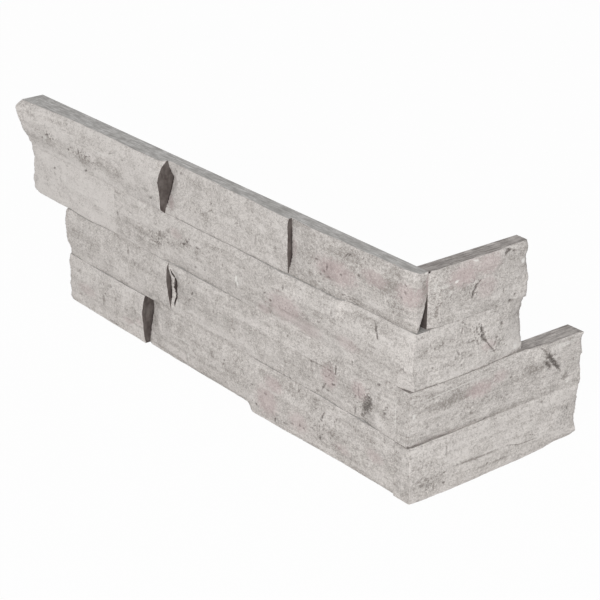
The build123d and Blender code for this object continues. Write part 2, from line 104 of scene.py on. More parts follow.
# Marks of each split face by kind: distance from the wall corner, height, half length, half
# width, strength, and the tilt in degrees (up to the right) of those that have one
MARKS = {
    "top_row_left_strip": {
        "pit": [
            (419, 124, 1.5, 1.0, 0.6), (411, 128, 2.5, 0.8, 0.8, 15), (381, 124.5, 1.6, 0.8, 0.9),
            (366.5, 126.5, 1.1, 2.2, 0.9), (358, 114.8, 2.2, 0.8, 0.8, 15), (356, 125.5, 2.0, 0.7, 0.7, 20),
            (352, 126.8, 2.4, 0.6, 0.6, 20), (322, 137.5, 2.0, 0.7, 0.5, 15), (306, 137, 2.4, 0.7, 0.5, 15),
            (270, 119, 2.4, 0.9, 0.6, 20),
        ],
        "rock": [(408, 128, 10, 4, 0.8), (366, 125, 15, 5, 0.9), (345, 122, 10, 4, 0.8)],
        "shade": [
            (434, 138, 6, 3, 0.4), (422, 120, 20, 3, 0.35), (408, 123, 7, 4, 0.4), (395, 118, 14, 2, 0.3),
            (388, 145, 12, 5, 0.24), (360, 122, 11, 6, 0.5), (330, 126, 15, 5, 0.4), (312, 125, 9, 4, 0.4),
            (276, 124, 5, 3, 0.5),
        ],
        "pale": [(414, 125, 3, 1.4, 0.5), (335, 134, 10, 0.8, 0.5)],
    },
    "top_row_middle_strip": {
        "pit": [
            (237.5, 148.5, 0.9, 0.9, 0.5), (231.5, 148.5, 0.9, 1.1, 0.5), (196.5, 136.5, 1.2, 0.9, 0.8, 30),
            (167, 131.5, 2.0, 0.6, 0.5, 15), (163, 130.5, 0.9, 0.9, 0.5),
        ],
        "dark": [(250, 133, 1.9, 15, 1.0)],
        "shade": [
            (246, 121, 4, 6, 0.4), (236, 141, 4, 1.0, 0.4, 50), (212, 146, 14, 4, 0.2),
            (206, 125.5, 1.3, 1.6, 0.6), (203, 121, 3, 8, 0.35), (197.5, 131, 3.5, 0.8, 0.6, 30),
            (180, 134, 24, 0.5, 0.35), (146, 126, 1.4, 4, 0.5), (140, 127, 2, 3, 0.4),
            (126, 138, 2, 1.2, 0.5, 30), (124.5, 126, 2.4, 3, 0.5),
        ],
        "light": [(200, 131, 50, 8, 0.1)],
        "mauve": [(245, 123, 4, 6, 0.7)],
    },
    "top_row_corner_strip": {
        "pit": [
            (92, 125, 0.9, 0.6, 0.5), (82, 133.5, 1.8, 0.55, 0.7, 10), (78, 124.5, 1.1, 0.7, 0.5),
            (74, 128, 1.5, 0.9, 0.6), (71.5, 131.2, 1.1, 1.8, 0.7), (69.5, 125, 2.0, 0.7, 0.6, 10),
            (57.5, 130.5, 1.5, 0.9, 0.8, 15), (52.5, 145.3, 2.4, 0.5, 0.8, 45),
            (49.5, 146.4, 2.2, 0.45, 0.8, 45), (40, 136, 1.3, 0.9, 0.6, 20), (28.5, 139.5, 1.1, 0.5, 0.6),
            (0, 135, 1.6, 0.9, 0.5), (-3.5, 144.6, 2.4, 0.5, 0.8, -30), (-3.5, 139.5, 1.6, 1.2, 0.5),
        ],
        "rock": [(50, 117, 14, 4, 0.7), (8, 125, 8, 5, 0.6)],
        "dark": [(109.5, 132, 1.25, 17, 1.0), (-21.3, 151.8, 1.8, 1.3, 1.0, -10)],
        "shade": [
            (87, 122, 3, 3, 0.5), (68, 129, 12, 6, 0.4), (53, 133, 2.2, 0.8, 0.6, 30),
            (50, 146, 24, 5, 0.35), (46, 117.5, 2, 1, 0.4), (45, 139, 4, 2, 0.5), (16, 135, 6, 2, 0.5),
            (8, 144, 10, 8, 0.25), (-9, 137, 1.6, 1.2, 0.5), (-17, 143, 4, 9, 0.55), (-20, 141, 2, 2, 0.5),
        ],
        "light": [(88, 127, 7, 12, 0.12), (28, 121, 10, 4, 0.45), (8, 146, 7, 4, 0.16)],
        "mauve": [
            (104, 134, 2.5, 8, 0.5), (62, 131, 22, 9, 1.0), (25, 139, 13, 6, 0.8), (-6, 138, 12, 8, 0.9),
            (-20, 145, 4, 8, 0.8),
        ],
        "pale": [(78, 117.5, 2, 1.2, 0.6), (5, 137, 2.5, 0.8, 0.4, 10), (-16.5, 151.6, 1.6, 0.9, 0.9)],
    },
    "top_row_return_strip": {
        "pit": [
            (72, 119, 1.1, 0.9, 0.7), (70, 149, 1.8, 0.5, 0.6), (68, 115.8, 1.8, 1.2, 0.7),
            (64.8, 150.5, 2.4, 1.4, 1.0, 15), (63, 149, 1.2, 1.0, 0.9), (57, 126.5, 1.1, 0.9, 0.4),
            (41, 135.5, 2.8, 0.5, 0.8, 38), (37.9, 132.8, 3.2, 0.9, 1.0, 52),
            (35.7, 128.6, 2.6, 0.9, 1.0, 78),
        ],
        "rock": [(36, 132, 6, 8, 0.7), (8, 133, 6, 8, 0.6)],
        "dark": [(0, 151.8, 1.8, 1.2, 1.0)],
        "shade": [
            (61.5, 124, 1, 3, 0.5), (37, 125.5, 1.4, 0.9, 0.5, -40), (34, 145, 8, 4, 0.2),
            (28, 134, 3, 1.2, 0.5, -55), (17.5, 132, 1, 2, 0.5), (6.5, 124, 2, 4, 0.7),
        ],
        "light": [(64, 128, 15, 12, 0.18)],
        "mauve": [
            (48, 146, 12, 8, 0.8), (47, 131, 10, 8, 0.6), (33, 150, 10, 3, 0.6), (28, 143, 14, 8, 1.0),
        ],
        "pale": [
            (78, 140.2, 2.4, 1.6, 0.9), (37, 150.6, 3, 0.8, 0.8, -10), (22, 140.7, 2.2, 1.0, 1.0, 12),
            (17, 134, 1, 2.5, 0.5, -20), (13, 140, 4, 2, 0.4), (5, 141, 1.5, 3, 0.4),
        ],
    },
    "second_row_left_strip": {
        "pit": [(405.5, 103.7, 1.8, 0.8, 0.9, 15)],
        "shade": [
            (430, 98, 3, 2, 0.4), (420, 92, 3.5, 1.2, 0.4, 30), (404, 99, 2, 2, 0.5),
            (398, 107, 4, 0.7, 0.4, 20), (397, 97, 1.4, 3, 0.5), (386, 111, 2.5, 1.2, 0.5),
        ],
    },
    "second_row_corner_strip": {
        "pit": [
            (316.3, 93.5, 1.3, 2.0, 0.6), (298.5, 99, 2.0, 0.8, 0.5), (262, 86, 2.4, 1.2, 0.5, 25),
            (231, 96, 2.0, 0.8, 0.9, 30), (226.5, 99, 1.2, 0.8, 0.9, 30), (223.5, 102, 0.8, 0.7, 0.8),
            (217, 83, 1.5, 0.9, 0.5, 10), (214, 98.3, 2.2, 0.6, 0.7, 5), (206, 84.5, 1.5, 0.7, 0.5, 15),
            (176, 92.3, 1.5, 0.7, 0.5), (137, 91, 2.5, 0.7, 0.6, 35), (130.5, 88, 1.2, 0.9, 0.8),
            (117, 101.5, 1.0, 2.4, 0.7, -20), (98, 107, 1.4, 0.7, 0.5, 20), (80, 90.5, 1.4, 0.7, 0.5),
            (67, 101, 0.5, 1.4, 0.7), (23.2, 107.3, 0.9, 3.8, 1.0, 4), (22.2, 102.2, 0.8, 2.8, 1.0, 10),
            (-2, 88, 1.8, 1.0, 0.4),
        ],
        "rock": [
            (266, 90, 14, 7, 0.9), (248, 91, 7, 5, 0.6), (229, 97, 8, 4, 1.0), (114, 89, 14, 6, 0.6),
            (96, 88, 10, 5, 0.5),
        ],
        "shade": [
            (315.5, 110, 1.0, 2.0, 0.5), (313, 103, 1.2, 1.2, 0.5), (303, 92, 6, 4, 0.3),
            (285, 88, 7, 8, 0.3), (268, 84, 9, 4, 0.4, 20), (258, 95, 7, 3, 0.6, 15), (250, 100, 3, 2, 0.4),
            (228, 98, 7, 4, 0.4, 20), (215, 94, 3, 4, 0.35), (200, 100, 2.0, 1.2, 0.4),
            (184, 95, 1.0, 2.0, 0.5), (180, 107, 35, 3, 0.13), (141, 80, 3, 1.6, 0.5), (130, 82, 3, 5, 0.6),
            (122, 98, 2.4, 1.0, 0.5), (104, 92.5, 2, 1, 0.5), (95, 90, 1.5, 1.5, 0.5),
            (70, 87, 1.0, 1.5, 0.5), (48, 106, 9, 5, 0.3), (48, 107, 7, 4, 0.22), (30, 101, 3, 1.5, 0.5),
            (28, 95, 7, 4, 0.18), (27, 89, 2, 1, 0.4), (26, 108, 24, 5, 0.27), (-5, 108, 3, 3, 0.4),
        ],
        "light": [
            (308, 95, 6, 14, 0.1), (275, 106, 45, 6, 0.22), (168, 83, 7, 4, 0.18), (168, 92, 9, 9, 0.3),
            (78, 83, 12, 4, 0.2),
        ],
        "mauve": [
            (240, 101, 8, 4, 0.6), (137, 80, 8, 4, 0.6), (115, 88, 20, 10, 0.9), (90, 82, 15, 6, 0.6),
            (50, 86, 12, 5, 0.6),
        ],
        "pale": [(168.5, 90.5, 1.4, 2.8, 1.0, -10), (166.8, 87.8, 1.4, 1.8, 1.0)],
    },
    "second_row_return_strip": {
        "pit": [
            (62, 102, 0.9, 1.3, 0.9), (58, 93.3, 1.4, 0.6, 0.8, -15), (52.8, 88.6, 6.2, 0.5, 0.9, -50),
            (49.5, 85.5, 0.9, 0.7, 0.4), (48, 94.3, 2.2, 1.0, 1.0, -45), (46.2, 97.5, 1.8, 2.6, 1.0),
            (45, 102, 2.4, 1.2, 1.0, -70), (44.6, 105.3, 0.9, 1.1, 0.6), (35.5, 104.7, 1.8, 0.5, 0.7, -50),
            (31, 107.5, 2.8, 0.4, 0.5, -35), (28.5, 82.5, 0.8, 0.9, 0.6), (25.5, 92, 2.4, 0.9, 0.5, -60),
            (4.3, 88, 0.9, 0.9, 0.8), (2.3, 104, 0.5, 2.0, 0.6), (1.2, 113.6, 0.6, 0.9, 0.7),
        ],
        "rock": [(60, 88, 8, 7, 0.8), (42, 100, 9, 9, 1.0), (29, 108, 7, 5, 0.9)],
        "shade": [
            (73.5, 85, 2, 4, 0.2), (61, 100, 3, 3, 0.6), (36, 87, 1.6, 2, 0.4), (34, 107, 7, 4, 0.2),
            (23.5, 89, 1, 2, 0.6), (12, 102, 1, 2, 0.6), (6, 98, 6, 12, 0.12),
        ],
        "light": [(76, 83, 6, 4, 0.5), (70, 88, 9, 12, 0.28)],
        "mauve": [(51, 90, 7, 4, 0.7)],
        "pale": [(75, 82, 2, 2, 0.5)],
    },
    "third_row_left_strip": {
        "shade": [
            (382, 57, 10, 5, 0.25), (350, 57, 14, 4, 0.12), (304, 67, 2, 4, 0.6),
            (291.5, 69, 1.1, 1.1, 0.6), (282, 67, 2.4, 1.2, 0.4, 20),
        ],
        "light": [(379, 69, 12, 4, 0.2), (300, 45, 14, 4, 0.2), (259, 45, 8, 4, 0.16)],
    },
    "third_row_corner_strip": {
        "pit": [
            (230.5, 51.5, 1.6, 0.6, 0.5, 30), (226, 55, 2.0, 0.8, 0.6, 35), (222, 61.2, 2.2, 0.8, 0.7, 45),
            (217.5, 63, 1.5, 0.5, 0.4), (193, 53.5, 0.9, 0.6, 0.4), (184.2, 63.3, 0.7, 0.7, 0.6),
            (172, 52.5, 0.9, 0.8, 0.4), (166.5, 48, 1.5, 0.5, 0.5, 10), (112, 69, 0.9, 1.1, 0.5),
            (89.5, 48, 1.5, 0.5, 0.6, 10), (86.5, 60, 1.4, 0.8, 0.7), (81, 60, 1.4, 0.7, 0.5),
            (73.5, 47, 3.4, 0.9, 0.7, 55), (69.5, 45.5, 1.4, 0.8, 0.7), (67, 60.5, 1.4, 1.1, 0.6),
            (64, 52, 2.0, 0.8, 0.8, 15), (61.6, 63.5, 0.9, 3.4, 0.9, -8), (41.5, 42.5, 1.0, 3.6, 0.6, -14),
            (38.8, 57, 0.8, 5.5, 0.4), (34.5, 42, 2.0, 1.6, 0.8), (30, 51, 3.0, 7.0, 0.85, -26),
            (30, 57, 1.4, 1.4, 0.9), (19.5, 69.5, 1.6, 1.0, 0.9, 15), (13.5, 51.8, 1.2, 0.9, 0.9, 20),
            (13, 54.3, 1.2, 0.4, 0.8, 20), (12, 56.5, 1.5, 0.5, 0.8, 15),
        ],
        "rock": [
            (151, 48, 12, 6, 0.5), (68, 59, 8, 7, 0.8), (40, 55, 6, 10, 0.7), (31, 51, 7, 13, 1.0, -20),
        ],
        "dark": [
            (250, 57, 1.2, 15, 1.0), (246.6, 68, 4.0, 1.0, 1.0, -70), (245.3, 49.5, 8, 1.0, 1.0, 80),
            (244.8, 59, 8.0, 2.0, 1.0, 90),
        ],
        "shade": [
            (232, 46, 2.4, 1.6, 0.3), (225.5, 68, 2, 1, 0.6, 20), (198, 62, 1.5, 0.8, 0.4),
            (175, 69, 50, 4, 0.14), (150, 58, 40, 5, 0.12), (121, 61.5, 2.5, 1, 0.6), (118, 57, 2, 4, 0.3),
            (100, 51, 26, 8, 0.2), (85, 53.5, 0.7, 2, 0.5), (85, 43, 1.5, 1.5, 0.5), (83, 61, 21, 0.5, 0.7),
            (80, 41, 1.5, 1.5, 0.6), (68, 64, 4, 4, 0.5), (59, 69, 7, 4, 0.4), (56, 46, 4, 2, 0.3),
            (30, 50, 6, 9, 0.5, -26), (19, 61, 2, 3, 0.5), (15, 47, 4, 4, 0.5), (0.4, 69, 1.4, 7, 0.9),
        ],
        "light": [
            (199, 57, 8, 4, 0.16), (110, 45, 120, 5, 0.22), (59, 45, 7, 4, 0.2), (18, 45, 7, 5, 0.58),
        ],
        "mauve": [(68, 56, 9, 9, 0.9), (38, 58, 8, 7, 0.9)],
        "pale": [(0.9, 55, 1.1, 18, 0.9)],
    },
    "third_row_return_strip": {
        "pit": [
            (129, 57, 0.9, 2.2, 0.5), (110, 61.5, 10.6, 1.8, 1.0, -49), (105.5, 60.3, 4.6, 1.5, 0.9, -50),
            (99.5, 73, 6, 0.5, 0.6, -36), (91, 51.5, 0.9, 0.5, 0.5), (72.5, 61.3, 0.9, 0.8, 0.9),
            (64, 49.5, 1.1, 0.9, 0.4), (40, 53, 0.8, 0.7, 0.5), (29.5, 48, 1.2, 1.1, 0.5),
            (10.5, 47, 1, 1, 0.5),
        ],
        "rock": [(108, 63, 8, 8, 0.6)],
        "shade": [
            (122, 47, 3.6, 3, 0.7), (104, 68, 7, 4, 0.6, -40), (90, 61, 8, 4, 0.4), (38.5, 47, 1.6, 1, 0.5),
            # The band at height 61.5 is painted shade under a ridge that faces down
            (34, 69, 8, 3, 0.25), (24, 61.5, 40, 4.5, 0.45, 3), (6, 69, 8, 3, 0.2),
        ],
        "light": [(76, 45, 9, 5, 0.5), (40, 45, 44, 5, 0.34), (6, 45, 8, 5, 0.5)],
        "mauve": [(62, 65, 8, 5, 0.7), (45, 61, 13, 6, 1.0)],
        "pale": [
            # The thin line at height 68.6 is a painted highlight along that ridge
            (124.5, 42.5, 1.4, 1, 0.7), (120, 71, 14, 2, 0.35), (26, 68.6, 44, 0.6, 0.5, 2.5),
            (-9.5, 59, 1.4, 2, 0.8),
        ],
    },
    "bottom_row_left_strip": {
        "pit": [(338.5, 21, 1.5, 0.7, 0.7, 20), (328, 0.9, 6, 0.7, 0.6), (299, 31, 0.9, 0.7, 0.4)],
        "shade": [
            (375, 8.5, 2.4, 1, 0.5), (341, 15, 2.4, 5, 0.6), (330, 30, 2, 1.4, 0.6),
            (324, 22, 1.4, 3, 0.6, -20), (315, 4, 1.2, 2, 0.5), (310, 18, 3, 2, 0.4),
            (301, 17, 9, 10, 0.16), (299, 31, 7, 4, 0.16),
        ],
        "mauve": [(365, 15, 14, 5, 0.5), (307, 10, 8, 3, 0.5), (292, 14, 6, 3, 0.5)],
    },
    "bottom_row_corner_strip": {
        "pit": [
            (185.5, 20.3, 1.5, 0.6, 0.6, 30), (184.3, 23.7, 0.8, 0.6, 0.9), (177, 22.5, 0.9, 0.7, 0.4),
            (162, 22, 1.1, 0.7, 0.4), (151.5, 18, 0.9, 0.7, 0.6), (147.5, 4.5, 1.2, 0.9, 0.9),
            (137, 16.5, 1.8, 0.9, 0.6, 15), (125.8, 1.6, 0.8, 2.4, 1.0, -18), (114, 3.5, 2.5, 0.7, 0.6, 10),
            (107, 6, 2, 0.7, 0.5, 10), (100, 33.5, 0.7, 1.4, 0.6), (99, 8, 1.1, 1.1, 0.7),
            (94.5, 7.5, 0.9, 0.8, 0.6), (77.5, 8, 1.4, 1.6, 0.7), (76, 4, 0.8, 0.9, 0.6),
            (75, 24.3, 4.2, 1.0, 0.8, 57), (62, 26, 0.8, 1.1, 0.5), (60, 28, 0.6, 1.4, 0.5),
            (52.5, 15.5, 0.7, 0.7, 0.5),
        ],
        "rock": [(75, 15, 16, 8, 0.6)],
        "dark": [(284, 18, 1.9, 17, 1.0)],
        "shade": [
            (264, 13, 1, 2, 0.4), (250, 14, 22, 4, 0.12), (231, 6.5, 2.4, 1.5, 0.6),
            (222, 17.5, 2, 0.8, 0.6, 20), (203.5, 18.5, 1, 1.5, 0.5), (199, 23, 3, 3, 0.4),
            (198, 13.5, 6, 1.5, 0.5), (190, 15, 30, 4, 0.12), (139, 31, 7, 4, 0.5), (139, 31, 8, 4, 0.36),
            (110, 31, 45, 4, 0.15), (66, 15, 1, 1.6, 0.4), (58, 7, 48, 4, 0.2), (45, 6, 1.1, 4.5, 0.6),
        ],
        "light": [
            (270, 31, 18, 4, 0.14), (263, 19, 9, 6, 0.32), (259, 19, 7, 5, 0.18), (235, 7, 34, 4, 0.18),
            (180, 7, 36, 4, 0.24), (158, 7, 9, 4, 0.36), (119, 7, 6, 4, 0.2), (39, 31, 7, 4, 0.14),
        ],
        "mauve": [
            (135, 12, 13, 12, 0.9), (127, 27, 11, 6, 0.9), (100, 10, 11, 8, 0.7), (54, 9, 9, 4, 0.5),
            (22, 18, 9, 5, 0.6),
        ],
        "pale": [(235, 20, 30, 0.8, 0.4), (229, 10.5, 0.9, 2.0, 0.9)],
    },
    "bottom_row_return_strip": {
        "pit": [
            (126.3, 22.5, 0.8, 1.8, 0.7), (94, 12.8, 4, 0.4, 0.6, -15), (90, 9.2, 9, 0.4, 0.6, -2),
            (76, 11.3, 7, 0.4, 0.6, -16), (54, 5.5, 0.9, 0.8, 0.5), (53, 9, 0.9, 0.8, 0.4),
            (43.5, 26, 0.8, 0.7, 0.5), (18.5, 26, 0.9, 3.2, 0.5), (17, 11.5, 1.4, 0.7, 0.5),
            (16.5, 4.5, 1.5, 0.8, 0.7, -20), (3, 7, 1.8, 1.2, 0.5), (2, 12, 1.8, 1.2, 0.5),
            (-2, 8.5, 1.8, 1.0, 0.5), (-3, 13, 2.0, 1.6, 0.5),
        ],
        "rock": [(122, 14, 7, 12, 0.6), (5, 7, 8, 7, 0.7)],
        "shade": [
            (121, 23.5, 2.5, 2.2, 0.2), (115, 27, 4, 4, 0.1), (102.5, 34, 2.8, 1.4, 0.5, -50),
            (81, 29, 3.2, 1, 0.4, -60), (60, 4.5, 34, 1.0, 0.4, 1), (46, 12.8, 24, 0.9, 0.6, -1),
            # The patch at -7, 19 beside the arris is painted shade, which evens out how the two sides are
            # lit
            (12, 30, 6, 5, 0.3), (10, 20, 12, 5, 0.28), (5, 9, 14, 6, 0.5), (-7, 19, 6, 14, 0.26),
            (-12, 31, 2.4, 2.4, 0.5),
        ],
        "light": [
            (118, 16, 7, 8, 0.2), (118, 19, 6, 5, 0.42), (112, 12, 16, 8, 0.16), (55, 7, 12, 4, 0.14),
            # The patch at -19, 18 on the end face is painted light, which evens out how the two sides are
            # lit
            (4, 6, 8, 4, 0.3), (-19, 18, 7, 18, 0.25),
        ],
    },
}


# Seeded noise
LATTICE = 256


def noise(x, y, seed):
    """Smooth gradient noise of about -0.7 to 0.7, one cell to a unit."""
    angles = np.random.default_rng(seed).uniform(0, 2 * math.pi, (LATTICE, LATTICE))
    left, low = np.floor(x).astype(int), np.floor(y).astype(int)
    fx, fy = x - left, y - low
    ease_x = fx * fx * fx * (fx * (fx * 6 - 15) + 10)
    ease_y = fy * fy * fy * (fy * (fy * 6 - 15) + 10)

    def corner(dx, dy):
        angle = angles[(left + dx) % LATTICE, (low + dy) % LATTICE]
        return np.cos(angle) * (fx - dx) + np.sin(angle) * (fy - dy)

    bottom = corner(0, 0) * (1 - ease_x) + corner(1, 0) * ease_x
    top = corner(0, 1) * (1 - ease_x) + corner(1, 1) * ease_x
    return bottom * (1 - ease_y) + top * ease_y


def fractal(x, y, seed, octaves=4, gain=0.5):
    """Noise summed over octaves, each twice as fine and weaker by the gain."""
    total = np.zeros(np.broadcast(x, y).shape)
    for octave in range(octaves):
        scale = 2.0 ** octave
        total = total + noise(x * scale, y * scale, seed + 101 * octave) * gain ** octave
    return total


def rise(values, low, high):
    """Smooth step from 0 at low to 1 at high."""
    share = np.clip((values - low) / (high - low), 0, 1)
    return share * share * (3 - 2 * share)


def blur(field, sigma):
    """Gaussian blur of a grid by sigma cells, with its borders repeated."""
    reach = max(1, int(3 * sigma))
    weights = np.exp(-0.5 * (np.arange(-reach, reach + 1) / max(sigma, 0.1)) ** 2)
    weights /= weights.sum()
    for axis in (0, 1):
        pad = [(0, 0), (0, 0)]
        pad[axis] = (reach, reach)
        wide = np.pad(field, pad, mode="edge")
        field = sum(weight * np.take(wide, range(k, k + field.shape[axis]), axis=axis)
                    for k, weight in enumerate(weights))
    return field


class Leg:
    """Directions of one leg: along it from its low end, and out of its back plane."""

    def __init__(self, name):
        self.short = "return" in name
        self.along = Vector((0, 1, 0)) if self.short else Vector((1, 0, 0))
        self.out = Vector((1, 0, 0)) if self.short else Vector((0, -1, 0))
        low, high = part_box(name)
        ends = [(corner - CORNER).dot(self.along) / MM for corner in (low, high)]
        self.start, self.end = min(ends), max(ends)
        self.bed, self.top = low.z / MM, high.z / MM

    def point(self, along, thick, height):
        """A point in metres from its place along the leg, its thickness and its height."""
        flat = CORNER + self.along * (along * MM) + self.out * (thick * MM)
        return flat + Vector((0, 0, height * MM))


# The strip that runs through the corner in front of each butting one
BUTTED = {other: name for name, (side, other) in FREE_ENDS.items()}


def free_end(name):
    """Where a strip that runs through the corner ends there, along its leg."""
    leg = Leg(name)
    return leg.end if FREE_ENDS[name][0] > 0 else leg.start


# Margin that keeps a ray inside the outline of the solid, and where rays start
INSIDE = 0.03
FAR = 100.0


def probe(tree, origin, direction):
    """Distance that a ray goes before it meets the solid, in millimetres, or None."""
    hit = tree.ray_cast(origin, direction)
    return None if hit[0] is None else hit[3] / MM


def front_field(tree, leg, places, heights):
    """Thickness of the solid at each place along the strip and height."""
    field = np.zeros((len(places), len(heights)))
    for i, place in enumerate(places):
        inner = min(max(place, leg.start + INSIDE), leg.end - INSIDE)
        for j, height in enumerate(heights):
            level = min(max(height, leg.bed + INSIDE), leg.top - INSIDE)
            gone = probe(tree, leg.point(inner, FAR, level), -leg.out)
            field[i, j] = FAR - gone if gone is not None else 0.0
    return field


def end_field(tree, leg, side, thick, heights, count):
    """How far the solid's free end lies back from its plane, from the front to the back."""
    plane = leg.end if side > 0 else leg.start
    field = np.zeros((count, len(heights)))
    for k in range(count):
        for j, height in enumerate(heights):
            level = min(max(height, leg.bed + INSIDE), leg.top - INSIDE)
            across = max(thick[j] * (1 - (k + 1) / count), INSIDE)
            across = min(across, thick[j] - 4 * INSIDE)
            gone = probe(tree, leg.point(plane + side * FAR, across, level), leg.along * -side)
            field[k, j] = gone - FAR if gone is not None else 0.0
    return np.maximum(field, 0.0)


# Blur of the solid's facets, and of the corner's arris, in millimetres
FACET_BLUR = 1.1
ARRIS_BLUR = 0.35
ARRIS_REACH = 1.5


def round_corner(along, thick, corner):
    """Softens the arris between the front and the free end of a strip."""
    reach = np.abs(np.arange(len(along)) - corner)[:, None] * CELL
    weight = np.exp(-(reach / ARRIS_REACH) ** 2)
    spread = max(1, int(3 * ARRIS_BLUR / CELL))
    kernel = np.exp(-0.5 * (np.arange(-spread, spread + 1) * CELL / ARRIS_BLUR) ** 2)
    kernel /= kernel.sum()
    out = []
    for line in (along, thick):
        wide = np.pad(line, ((spread, spread), (0, 0)), mode="edge")
        soft = sum(w * wide[k:k + len(line)] for k, w in enumerate(kernel))
        soft[-1] = line[-1]
        out.append(line * (1 - weight) + soft * weight)
    return out


# The marks are placed on a plane this thick, which the photograph looks at along a slant: how
# much further and lower a place there is for each millimetre that the stone stands proud of it
MARK_PLANE = 12.0
SLANT_LONG, SLANT_SHORT = (1.28, -0.72), (0.78, -0.56)

# How far behind and in front of that plane the stone is followed
MOST_BEHIND, MOST_PROUD = 6, 14

# How much wider than its mark a pit is worn
PIT_SPREAD = 1.2


def seen_places(leg, side, run, place, thick, height):
    """Place and height at which each point of the front is seen on the marks' plane."""
    proud = np.clip(thick - MARK_PLANE, -MOST_BEHIND, MOST_PROUD)
    past = side * (run - (leg.end if side > 0 else leg.start))
    proud = proud * (1 - rise(past, -2, 1))[:, None]
    further, lower = SLANT_SHORT if leg.short else SLANT_LONG
    return place + further * proud, height + lower * proud


def mark_share(mark, leg, place, height, wobble, spread):
    """Strength of one mark over a grid of places, with a ragged edge."""
    at, level, length, width, strength, *tilt = mark
    turn = math.radians(sum(tilt))
    right = (place - at) * (1 if leg.short else -1)
    up = height - level
    reach = np.hypot((right * math.cos(turn) + up * math.sin(turn)) / length,
                     (up * math.cos(turn) - right * math.sin(turn)) / width)
    return strength * (1 - rise(reach / spread + wobble, 0.45, 1.2))


def mark_fields(name, leg, true_places, seen):
    """Strength of each kind of mark over a strip's grid."""
    seed = CHARACTER[name][-1]
    wobble = 0.45 * fractal(seen[0] / 2.2, seen[1] / 1.8, seed + 20, 3, 0.6)
    fields = {}
    for kind in MARK_KINDS:
        # Painted shadow in open joints and cracks is placed where the stone itself is broken
        place, height = true_places if kind == "dark" else seen
        spread = PIT_SPREAD if kind == "pit" else 1.0
        fields[kind] = np.zeros(place.shape)
        for mark in MARKS[name].get(kind, ()):
            share = mark_share(mark, leg, place, height, wobble, spread)
            fields[kind] = np.maximum(fields[kind], share)
    # The inside of a pit is crumbly
    crumbs = fractal(seen[0] / 1.4, seen[1] / 1.2, seed + 30, 2)
    fields["pit"] *= 0.5 + 0.5 * rise(crumbs, -0.25, 0.15)
    return fields


# Largest break of an outer arris, how far in it reaches and how much of it is along the strip
CHIP_MOST, CHIP_REACH, CHIP_SLANT = 1.6, 1.5, 0.6


def end_chips(leg, along, height):
    """How much of a strip's outer arris has broken away, near the end of its leg."""
    outer = leg.end if leg.short else leg.start
    ragged = 0.4 + 1.2 * fractal(height / 12.0, 0 * height + outer, 900, 4, 0.65)
    return np.clip(ragged, 0, CHIP_MOST) * np.exp(-((along - outer) / CHIP_REACH) ** 2)


def stone_relief(coarse, short, x, z, bed, top):
    """Depth of the fine relief over a grid of places, and how deep its pits are.

    The same noise runs over all the strips of a leg, so flush joints stay flush.
    """
    seed = 500 if short else 100
    layer = z + 0.03 * x + 2.0 * fractal(x / 60, z / 30, seed + 1, 2)
    patch = rise(fractal(x / 38, z / 16, seed + 2, 3), -0.35, 0.30)
    rough = 0.30 + 1.0 * coarse * patch
    relief = 0.36 * fractal(x / 24, layer / 12, seed + 3, 3, 0.45)
    relief += 0.07 * fractal(x / 20, layer / 3.0, seed + 4, 3, 0.5)
    relief += 0.36 * rough * fractal(x / 5.0, z / 4.4, seed + 6, 4, 0.52)
    relief += 0.20 * rough * fractal(x / 2.3, z / 2.0, seed + 7, 3, 0.6)
    # Pits in clusters
    cluster = rise(fractal(x / 17, z / 11, seed + 8, 3), 0.02, 0.45)
    pits = rise(fractal(x / 2.1, z / 1.6, seed + 9, 2), 0.26, 0.52) * cluster * coarse
    relief -= 0.5 * pits
    # Worn arrises at both beds, with few small chips
    edge = np.minimum(z - bed, top - z)
    chips = rise(fractal(x / 6.0, z / 14, seed + 12, 2), 0.34, 0.60)
    relief -= 0.06 * np.exp(-edge / 0.5) + 0.7 * chips * np.exp(-(edge / 1.1) ** 2)
    return relief, pits


class StripMesh:
    """Vertices, faces and face materials of one strip, built up grid by grid."""

    def __init__(self):
        self.points, self.faces, self.slots, self.arris = [], [], [], range(0)

    def add_points(self, points):
        """Adds points and returns the index of the first."""
        first = len(self.points)
        self.points += points
        return first

    def add_back_edge(self, leg, place):
        """Adds the ends of an upright edge of the back, the lower one first."""
        first = self.add_points([tuple(leg.point(place, 0.0, level)) for level in (leg.bed, leg.top)])
        return [first, first + 1]

    def add_face(self, corners, slot):
        self.faces.append(corners)
        self.slots.append(slot)

    def cap(self, loop, slot, normal):
        """Closes a flat outline of vertex indices, facing along the normal."""
        outline = [Vector(self.points[k]) for k in loop]
        for triangle in tessellate_polygon([outline]):
            a, b, c = (loop[k] for k in triangle)
            pa, pb, pc = (Vector(self.points[k]) for k in (a, b, c))
            facing = (pb - pa).cross(pc - pa)
            self.add_face((a, c, b) if facing.dot(normal) < 0 else (a, b, c), slot)


# Places of the materials on each strip
SPLIT, SAWN_LONG, SAWN_SHORT, DARK_END, BACK = range(5)

# Painted shade on an end where it shows beside the corner: how much darker than its front it is
END_PAINTED_SHADE = 0.15


